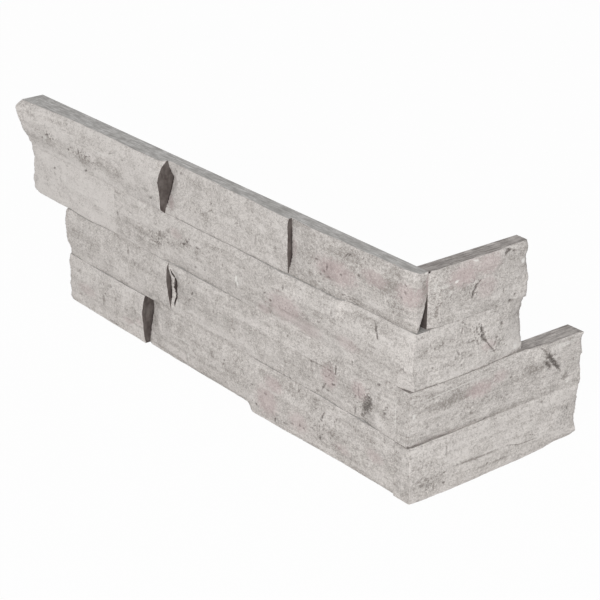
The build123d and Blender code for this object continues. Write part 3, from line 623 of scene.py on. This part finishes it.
def strip_grid(name, leg, side):
    """The strip's wrapped front: places, thicknesses and heights, as the solid has them."""
    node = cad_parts[name]
    tree = BVHTree.FromPolygons([v.co for v in node.data.vertices],
                                [tuple(p.vertices) for p in node.data.polygons])
    places = np.linspace(leg.start, leg.end, round((leg.end - leg.start) / CELL) + 1)
    if side < 0:
        places = places[::-1]
    heights = np.linspace(leg.bed, leg.top, round((leg.top - leg.bed) / CELL) + 1)
    solid = front_field(tree, leg, places, heights)
    thick = blur(solid, FACET_BLUR / CELL)
    along = np.repeat(places[:, None], len(heights), 1)
    run, spall_shade = places, np.zeros(thick.shape)
    if name in FREE_ENDS:
        count = max(4, round(float(thick[-1].mean()) / CELL))
        back = end_field(tree, leg, side, thick[-1], heights, count)
        passed = (np.arange(1, count + 1) / count)[:, None]
        along = np.vstack([along, places[-1] - side * back])
        run = np.concatenate([places, places[-1] + side * thick[-1].mean() * passed[:, 0]])
        thick = np.vstack([thick, thick[-1][None, :] * (1 - passed)])
        along, thick = round_corner(along, thick, len(places) - 1)
        spall_shade = np.vstack([spall_shade, rise(back, 0.2, 0.8)])
    return heights, run, along, thick, spall_shade, solid.max()


# Depths of the marks in the fine relief
PIT_DEPTH, SHADE_DEPTH, ROCK_DEPTH = 0.75, 0.12, 0.55


def strip_relief(name, leg, side, run, place, thick, height, marks):
    """Fine relief of a strip's wrapped front, its pits, and its tone with painted shade and highlights."""
    coarse, darkness, streaks, seed = CHARACTER[name]
    relief, pits = stone_relief(coarse, leg.short, place, height, leg.bed, leg.top)
    tone = np.full(place.shape, darkness)
    if name in FREE_ENDS:
        # Past the corner the relief is the butting strip's, which carries on across the end
        other = CHARACTER[FREE_ENDS[name][1]]
        over = stone_relief(other[0], not leg.short, -thick, height, leg.bed, leg.top)
        past = side * (run - (leg.end if side > 0 else leg.start))
        share = rise(past, -0.8, 0.8)[:, None]
        relief = relief * (1 - share) + over[0] * share
        pits = pits * (1 - share) + over[1] * share
        # The end past the corner is painted darker than the butting strip's front, as shade
        tone = tone * (1 - share) + (other[1] + END_PAINTED_SHADE) * share
    # Crumbly rock is carved in and painted darker, with the pits' painted shade
    crumbs = fractal(place / 1.9, height / 1.5, seed + 70, 3, 0.6)
    rocks = marks["rock"] * rise(crumbs, 0.05, 0.40)
    pits = np.maximum(pits, 0.9 * rocks)
    relief = relief - PIT_DEPTH * marks["pit"] - SHADE_DEPTH * marks["shade"] - ROCK_DEPTH * rocks
    strata = fractal(place / 45, (height + 0.03 * place) / 2.6, seed + 60, 3, 0.6)
    # Painted shade in the relief's hollows and a painted highlight on its crests
    hollow_shade_and_crest_light = relief - blur(relief, 2.5 / CELL)
    tone = tone + 0.75 * (marks["shade"] - marks["light"]) - 0.55 * hollow_shade_and_crest_light + 2.0 * streaks * strata
    tone += 0.4 * rocks
    return relief, pits, tone


# Beside the corner: how far along a strip is held back from the end that it butts against, by
# how much there, and how much less for each millimetre further on
FLUSH_REACH, FLUSH_DROP, FLUSH_SLOPE = 8, 0.15, 0.25


def carve(name, leg, side, along, thick, thickest, relief, height):
    """Places and thicknesses of a strip's wrapped front with its fine relief."""
    if name in BUTTED:
        flush = abs(free_end(BUTTED[name])) - FLUSH_DROP + FLUSH_SLOPE * np.abs(along)
        thick = np.where(np.abs(along) < FLUSH_REACH, np.minimum(thick, flush), thick)
    if name in FREE_ENDS:
        # Outward normal in plan, which turns at the corner
        d_along, d_thick = np.gradient(along, axis=0), np.gradient(thick, axis=0)
        length = np.maximum(np.hypot(d_along, d_thick), 1e-9)
        along = along - side * d_thick / length * relief
        thick = thick + side * d_along / length * relief
    else:
        thick = thick + relief
    along = np.clip(along, leg.start, leg.end)
    thick = np.clip(thick, 0.0, thickest)
    along[0] = leg.start if side > 0 else leg.end
    if name in FREE_ENDS:
        thick[-1] = 0.0
    else:
        along[-1] = leg.end
    if "left" in name or leg.short:
        broken = end_chips(leg, along, height)
        thick = np.maximum(thick - broken, 0.0)
        outer_half = np.abs(along) > np.abs(along[0, 0]) / 2
        along = along + (-CHIP_SLANT if leg.short else CHIP_SLANT) * broken * outer_half
    return along, thick


def add_front(mesh, leg, side, along, thick, heights):
    """Adds the grid of a strip's wrapped front to its mesh."""
    columns, rows = along.shape
    mesh.add_points([tuple(leg.point(float(along[i, j]), float(thick[i, j]), float(heights[j])))
                     for i in range(columns) for j in range(rows)])
    handed = side * (1 if leg.out.cross(leg.along).z > 0 else -1)
    for i in range(columns - 1):
        for k in range(i * rows, (i + 1) * rows - 1):
            quad = (k, k + rows, k + rows + 1, k + 1)
            mesh.add_face(quad if handed > 0 else quad[::-1], SPLIT)


def add_sawn_faces(mesh, name, leg, side, columns, rows):
    """Closes a strip behind its front with its sawn ends, beds and back."""
    sawn = SAWN_SHORT if leg.short else SAWN_LONG
    dark_ends = DARK_JOINT_ENDS.get(name, ())
    low_row = list(range(0, columns * rows, rows))
    high_row = [k + rows - 1 for k in low_row]
    near_column = range(low_row[-1], columns * rows)
    far_low, far_high = mesh.add_back_edge(leg, leg.start if side > 0 else leg.end)
    if name in FREE_ENDS:
        corner = round((leg.end - leg.start) / CELL)
        mesh.arris = range(corner * rows, (corner + 1) * rows)
        back, near_low, near_high = near_column, [], []
    else:
        back = mesh.add_back_edge(leg, leg.end)
        near_low, near_high = back[:1], back[1:]
        mesh.cap([*near_low, *near_column, *near_high], DARK_END if 1 in dark_ends else sawn, leg.along)
    mesh.cap([far_low, *low_row, *near_low], sawn, Vector((0, 0, -1)))
    mesh.cap([far_high, *high_row, *near_high], sawn, Vector((0, 0, 1)))
    mesh.cap([far_low, *back, far_high], BACK, -leg.out)
    mesh.cap([far_low, *range(rows), far_high], DARK_END if -side in dark_ends else sawn,
             leg.along * -side)


# How far each strip is moved in its noise for one step of its seed, so that no two match
STRIP_SHIFT = (61.0, 0.0, 97.0)


def stone_vectors(name, leg, points):
    """Every point's place in the stone, and its distances from the strip's ends and its bed."""
    away = [Vector(point) - CORNER for point in points]
    stone = np.array([(p.dot(leg.along), p.dot(leg.out), p.z) for p in away]) / MM
    along, level = stone[:, 0], stone[:, 2]
    seams = np.stack([along - leg.start, leg.end - along, level - leg.bed], axis=1)
    return {"stone": stone + np.array(STRIP_SHIFT) * CHARACTER[name][-1], "seams": seams}


def make_strip(name):
    """A fine mesh that stands for one strip's solid, and its point attributes."""
    leg = Leg(name)
    side = FREE_ENDS.get(name, (1,))[0]
    heights, run, along, thick, spall_shade, thickest = strip_grid(name, leg, side)
    height = np.repeat(heights[None, :], len(run), 0)
    place = np.repeat((run if leg.short else -run)[:, None], len(heights), 1)
    seen = seen_places(leg, side, run, place, thick, height)
    marks = mark_fields(name, leg, (place, height), seen)
    relief, pits, tone = strip_relief(name, leg, side, run, place, thick, height, marks)
    along, thick = carve(name, leg, side, along, thick, thickest, relief, height)
    mesh = StripMesh()
    add_front(mesh, leg, side, along, thick, heights)
    add_sawn_faces(mesh, name, leg, side, *along.shape)
    fields = {"tone": tone, "mauve": marks["mauve"], "pale": marks["pale"],
              # Pits are painted with shade
              "pit": np.maximum(marks["pit"], 0.6 * pits),
              # A free end that lies back from its plane is painted with shadow
              "dark": np.maximum(marks["dark"], spall_shade)}
    sawn = np.zeros(len(mesh.points) - tone.size)
    layers = {label: np.concatenate([field.ravel(), sawn]) for label, field in fields.items()}
    shade = np.random.default_rng(CHARACTER[name][-1]).uniform(0, 1)
    layers["strip"] = np.full(len(mesh.points), shade)
    return mesh, stone_vectors(name, leg, mesh.points), layers


def add_object(name, data):
    """A Blender object in the scene that shows the data."""
    item = bpy.data.objects.new(name, data)
    bpy.context.scene.collection.objects.link(item)
    return item


def link(name, mesh, vectors, layers, materials):
    """A Blender object from a strip mesh, in place of its solid."""
    data = bpy.data.meshes.new(name + "_stone")
    data.from_pydata(mesh.points, [], mesh.faces)
    for material in materials:
        data.materials.append(material)
    data.polygons.foreach_set("material_index", mesh.slots)
    data.polygons.foreach_set("use_smooth", [slot == SPLIT for slot in mesh.slots])
    data.edges.foreach_set("use_edge_sharp", [a in mesh.arris and b in mesh.arris
                                              for a, b in (edge.vertices for edge in data.edges)])
    for label, values in vectors.items():
        field = data.attributes.new(label, "FLOAT_VECTOR", "POINT")
        field.data.foreach_set("vector", values.astype(np.float32).ravel())
    for label, values in layers.items():
        field = data.attributes.new(label, "FLOAT", "POINT")
        field.data.foreach_set("value", values.astype(np.float32))
    data.update()
    piece = add_object(name + "_stone", data)
    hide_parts(name)
    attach(piece, "root")


class Nodes:
    """Short calls for building a material's node tree."""

    def __init__(self, name):
        self.material = bpy.data.materials.new(name)
        self.material.use_nodes = True
        self.tree = self.material.node_tree
        self.shader = self.tree.nodes["Principled BSDF"]

    def new(self, kind, **values):
        node = self.tree.nodes.new(kind)
        for key, value in values.items():
            setattr(node, key, value)
        return node

    def join(self, source, target):
        self.tree.links.new(source, target)

    def attribute(self, name, output="Fac"):
        return self.new("ShaderNodeAttribute", attribute_name=name).outputs[output]

    def noise(self, vector, scale, detail=4.0, rough=0.5, stretch=(1, 1, 1), turn=0.0):
        """Noise over a vector that is stretched first; its value is about 0.5 on average."""
        mapping = self.new("ShaderNodeMapping")
        mapping.inputs["Scale"].default_value = stretch
        mapping.inputs["Rotation"].default_value = (0, turn, 0)
        self.join(vector, mapping.inputs["Vector"])
        texture = self.new("ShaderNodeTexNoise")
        texture.inputs["Scale"].default_value = scale
        texture.inputs["Detail"].default_value = detail
        texture.inputs["Roughness"].default_value = rough
        self.join(mapping.outputs["Vector"], texture.inputs["Vector"])
        return texture.outputs["Fac"]

    def spread(self, value, low, high, to_low=0.0, to_high=1.0):
        """Maps low..high to to_low..to_high, held at its limits."""
        node = self.new("ShaderNodeMapRange")
        self.join(value, node.inputs["Value"])
        node.inputs["From Min"].default_value = low
        node.inputs["From Max"].default_value = high
        node.inputs["To Min"].default_value = to_low
        node.inputs["To Max"].default_value = to_high
        return node.outputs["Result"]

    def math(self, operation, a, b):
        node = self.new("ShaderNodeMath", operation=operation)
        for socket, value in zip(node.inputs, (a, b)):
            if isinstance(value, (int, float)):
                socket.default_value = value
            else:
                self.join(value, socket)
        return node.outputs["Value"]

    def mix(self, share, a, b):
        """Mixes two colours, each a socket or three numbers."""
        node = self.new("ShaderNodeMix", data_type="RGBA")
        for key, value in (("Factor", share), ("A", a), ("B", b)):
            socket = next(s for s in node.inputs if s.name == key and s.enabled)
            if isinstance(value, (int, float)):
                socket.default_value = value
            elif isinstance(value, tuple):
                socket.default_value = (*value, 1)
            else:
                self.join(value, socket)
        return next(s for s in node.outputs if s.enabled)

    def bump(self, height, distance, strength=1.0):
        node = self.new("ShaderNodeBump")
        node.inputs["Strength"].default_value = strength
        node.inputs["Distance"].default_value = distance
        self.join(height, node.inputs["Height"])
        return node.outputs["Normal"]


def srgb(red, green, blue):
    """Linear colour from 0 to 255 display values."""
    def linear(value):
        value /= 255
        return value / 12.92 if value <= 0.04045 else ((value + 0.055) / 1.055) ** 2.4
    return (linear(red), linear(green), linear(blue))


# Colours of the split faces, from the palest stone to the painted shade in pits and the painted shadow in
# open joints
PALE_STONE, GREY_STONE = srgb(208, 203, 199), srgb(142, 136, 131)
WHITE_FLECK, WHITE_SCAR, MAUVE_VEIN = srgb(228, 226, 223), srgb(224, 222, 218), srgb(182, 164, 163)
GREY_SPECK, PIT_SHADE, JOINT_SHADOW = srgb(122, 117, 113), srgb(88, 82, 78), srgb(52, 44, 42)

# Colours of the dark brown-grey ends in the open joints
JOINT_END_DARK, JOINT_END_GREY, JOINT_END_STREAK = srgb(70, 61, 58), srgb(104, 97, 93), srgb(60, 52, 49)

# Colours of the back: a darker strip, and the seams between the strips
STRIP_GREY, SEAM_GREY = srgb(160, 155, 151), srgb(84, 78, 75)


def finish_stone(n, colour, roughness, bump, specular=None):
    """Joins a stone's colour and bump to its shader."""
    n.join(colour, n.shader.inputs["Base Color"])
    n.shader.inputs["Roughness"].default_value = roughness
    if specular is not None:
        n.shader.inputs["Specular IOR Level"].default_value = specular
    n.join(bump, n.shader.inputs["Normal"])
    return n.material


def split_material():
    """Light warm grey marble, split by hand."""
    n = Nodes("split_marble_face")
    stone = n.attribute("stone", "Vector")
    bands = n.noise(stone, 1.0, 3, 0.5, (0.010, 0.05, 0.12))
    cloud = n.noise(stone, 0.07, 4, 0.6)
    mottle = n.noise(stone, 0.42, 4, 0.66, (0.8, 1, 1.1))
    dust = n.noise(stone, 1.9, 2, 0.6, (0.9, 1, 1))
    grain = n.noise(stone, 0.95, 4, 0.75, (0.8, 1, 1))
    tone = n.attribute("tone")
    for value, low, reach in ((bands, 0.3, 0.14), (cloud, 0.25, 0.26), (mottle, 0.25, 0.30),
                              (grain, 0.2, 0.72), (dust, 0.25, 0.45)):
        tone = n.math("ADD", tone, n.spread(value, low, 1 - low, -reach, reach))
    colour = n.mix(n.spread(tone, 0, 1), PALE_STONE, GREY_STONE)
    mauve = n.math("MULTIPLY", n.attribute("mauve"), n.spread(grain, 0.3, 0.7, 0.5, 1.0))
    colour = n.mix(n.math("MULTIPLY", mauve, 0.7), colour, MAUVE_VEIN)
    speck = n.noise(stone, 0.55, 3, 0.7, (0.8, 1, 1))
    fleck = n.noise(stone, 0.8, 2, 0.5, (0.6, 1, 1.3))
    for value, low, high, share, paint in (
            (speck, 0.66, 0.74, 0.45, GREY_SPECK), (fleck, 0.70, 0.78, 0.6, WHITE_FLECK),
            (n.attribute("pale"), 0.1, 0.9, 0.9, WHITE_SCAR),
            # Painted shade in the pits
            (n.attribute("pit"), 0.1, 0.9, 0.9, PIT_SHADE),
            # Painted shadow in open joints, cracks, chips and ends that lie back
            (n.attribute("dark"), 0.3, 0.7, 1.0, JOINT_SHADOW)):
        colour = n.mix(n.spread(value, low, high, 0, share), colour, paint)
    fine = n.noise(stone, 2.4, 4, 0.7)
    rough = n.math("ADD", fine, n.math("MULTIPLY", grain, 0.7))
    return finish_stone(n, colour, 0.85, n.bump(rough, 0.3 * MM, 0.6), 0.3)


def seam_distances(n):
    """Distances of a sawn face's point from the strip's start, its end and its bed."""
    parts = n.new("ShaderNodeSeparateXYZ")
    n.join(n.attribute("seams", "Vector"), parts.inputs[0])
    return parts.outputs


def seam_share(n, wander):
    """How near a point of the back is to the seams round its strip, from 0 to 1."""
    start, end, bed = seam_distances(n)
    near = n.math("MINIMUM", n.math("MINIMUM", start, end),
                  n.math("MINIMUM", bed, n.math("SUBTRACT", COURSE, bed)))
    near = n.math("ADD", near, n.spread(wander, 0.3, 0.7, -0.35, 0.35))
    return n.spread(near, 0.25, 0.75, 0.8, 0)


def sawn_material(name, pale, grey, streak, back=False, inner=0.0):
    """Sawn stone with saw marks along the strip, seams on the back, and darker towards the strip's start by
    the inner corner.
    """
    n = Nodes(name)
    stone = n.attribute("stone", "Vector")
    cloud = n.noise(stone, 0.07, 5, 0.65)
    marks = n.noise(stone, 1.0, 3, 0.6, (0.10, 0.75, 0.75), 0.12)
    speck = n.noise(stone, 0.8, 2, 0.5)
    colour = n.mix(n.spread(cloud, 0.35, 0.65), srgb(*grey), srgb(*pale))
    colour = n.mix(n.spread(marks, 0.40, 0.62, 0, 0.7), colour, srgb(*streak))
    colour = n.mix(n.spread(speck, 0.58, 0.70, 0, 0.5), colour, srgb(*streak))
    if inner:
        colour = n.mix(n.spread(seam_distances(n)[0], 0, 45, inner, 0), colour, srgb(*streak))
    if back:
        colour = n.mix(n.spread(n.attribute("strip"), 0, 1, 0, 0.45), colour, STRIP_GREY)
        colour = n.mix(seam_share(n, speck), colour, SEAM_GREY)
    return finish_stone(n, colour, 0.75, n.bump(marks, 0.12 * MM, 0.5), 0.3)


def dark_end_material():
    """A sawn end, dark brown-grey, in an open butt joint."""
    n = Nodes("dark_joint_end_face")
    stone = n.attribute("stone", "Vector")
    cloud = n.noise(stone, 0.14, 4, 0.65)
    marks = n.noise(stone, 1.0, 3, 0.6, (0.5, 0.5, 0.14), 0.3)
    colour = n.mix(n.spread(cloud, 0.35, 0.65), JOINT_END_DARK, JOINT_END_GREY)
    colour = n.mix(n.spread(marks, 0.45, 0.65, 0, 0.5), colour, JOINT_END_STREAK)
    return finish_stone(n, colour, 0.75, n.bump(marks, 0.12 * MM, 0.5))


materials = [
    split_material(),
    sawn_material("sawn_marble_face", (209, 207, 205), (177, 175, 172), (136, 133, 130)),
    sawn_material("sawn_marble_return", (207, 201, 197), (153, 147, 143), (104, 98, 95),
                  inner=0.34),
    dark_end_material(),
    sawn_material("sawn_marble_back", (214, 211, 208), (188, 185, 182), (160, 157, 154), True),
]
for strip in sorted(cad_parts):
    link(strip, *make_strip(strip), materials)


# Camera: the photograph's own view, from outside the corner and above
AZIMUTH, ELEVATION = 51.99, 23.81
AIM = CORNER + Vector((-139.8, 20.4, 76.2)) * MM
DISTANCE = 1206.4 * MM
FOCAL_LENGTH = 106.57
SENSOR_WIDTH = 36

# Both lamps' distance and width, in metres
LAMP_DISTANCE, LAMP_SIZE = 4.0, 2.6


def towards(azimuth, elevation):
    """Unit vector from the object to a viewer; azimuth 0 is in front of the long leg."""
    a, e = math.radians(azimuth), math.radians(elevation)
    return Vector((math.sin(a) * math.cos(e), -math.cos(a) * math.cos(e), math.sin(e)))


def face(item, aim, azimuth, elevation, distance):
    """Puts a camera or lamp at a distance from its aim, turned to it."""
    back = towards(azimuth, elevation)
    item.location = aim + back * distance
    item.rotation_euler = back.to_track_quat("Z", "Y").to_euler()


def make_camera():
    data = bpy.data.cameras.new("camera")
    data.lens = FOCAL_LENGTH
    data.sensor_width = SENSOR_WIDTH
    data.clip_start = 0.01
    camera = add_object("camera", data)
    face(camera, AIM, AZIMUTH, ELEVATION, DISTANCE)
    bpy.context.scene.camera = camera


def make_lamp(name, azimuth, elevation, power):
    data = bpy.data.lights.new(name, "AREA")
    data.shape = "DISK"
    data.size = LAMP_SIZE
    data.energy = power
    face(add_object(name, data), Vector((0, 0, 0)), azimuth, elevation, LAMP_DISTANCE)


def seen_rays(tree):
    """A value that is 1 for camera, mirror and glass rays."""
    path = tree.nodes.new("ShaderNodeLightPath")
    seen = path.outputs["Is Camera Ray"]
    for other in ("Is Glossy Ray", "Is Transmission Ray"):
        either = tree.nodes.new("ShaderNodeMath")
        either.operation = "MAXIMUM"
        tree.links.new(seen, either.inputs[0])
        tree.links.new(path.outputs[other], either.inputs[1])
        seen = either.outputs["Value"]
    return seen


def whiten(tree, surface, output, share):
    """Shows white, by the given share, to the rays that see the background."""
    kind = "ShaderNodeBackground" if output.type == "OUTPUT_WORLD" else "ShaderNodeEmission"
    white = tree.nodes.new(kind)
    white.inputs["Color"].default_value = (1, 1, 1, 1)
    white.inputs["Strength"].default_value = 1.0
    amount = tree.nodes.new("ShaderNodeMath")
    amount.operation = "MULTIPLY"
    tree.links.new(seen_rays(tree), amount.inputs[0])
    amount.inputs[1].default_value = share
    mix = tree.nodes.new("ShaderNodeMixShader")
    tree.links.new(amount.outputs[0], mix.inputs[0])
    tree.links.new(surface.outputs[0], mix.inputs[1])
    tree.links.new(white.outputs[0], mix.inputs[2])
    tree.links.new(mix.outputs[0], output.inputs["Surface"])


# Strength of the world's light, and how white the floor is to the camera
WORLD_STRENGTH = 0.38
FLOOR_WHITE = 0.965

# The floor's width in metres, and how far under the panel it lies
FLOOR_SIZE, FLOOR_DROP = 12, 0.05 * MM


def make_world():
    world = bpy.data.worlds.new("studio")
    bpy.context.scene.world = world
    world.use_nodes = True
    tree = world.node_tree
    soft, output = tree.nodes["Background"], tree.nodes["World Output"]
    soft.inputs["Color"].default_value = (1, 1, 1, 1)
    soft.inputs["Strength"].default_value = WORLD_STRENGTH
    whiten(tree, soft, output, 1.0)


def make_floor():
    bpy.ops.mesh.primitive_plane_add(size=FLOOR_SIZE, location=(0, 0, -FLOOR_DROP))
    floor = bpy.context.object
    floor.name = "floor"
    material = bpy.data.materials.new("floor_white")
    material.use_nodes = True
    tree = material.node_tree
    matte, output = tree.nodes["Principled BSDF"], tree.nodes["Material Output"]
    matte.inputs["Base Color"].default_value = (0.85, 0.85, 0.85, 1)
    matte.inputs["Roughness"].default_value = 0.9
    matte.inputs["Specular IOR Level"].default_value = 0.0
    whiten(tree, matte, output, FLOOR_WHITE)
    floor.data.materials.append(material)


make_camera()
make_lamp("key", 45, 24, 131)
make_lamp("fill", 225, 12, 30)
make_world()
make_floor()
bpy.context.scene.view_settings.view_transform = "Standard"
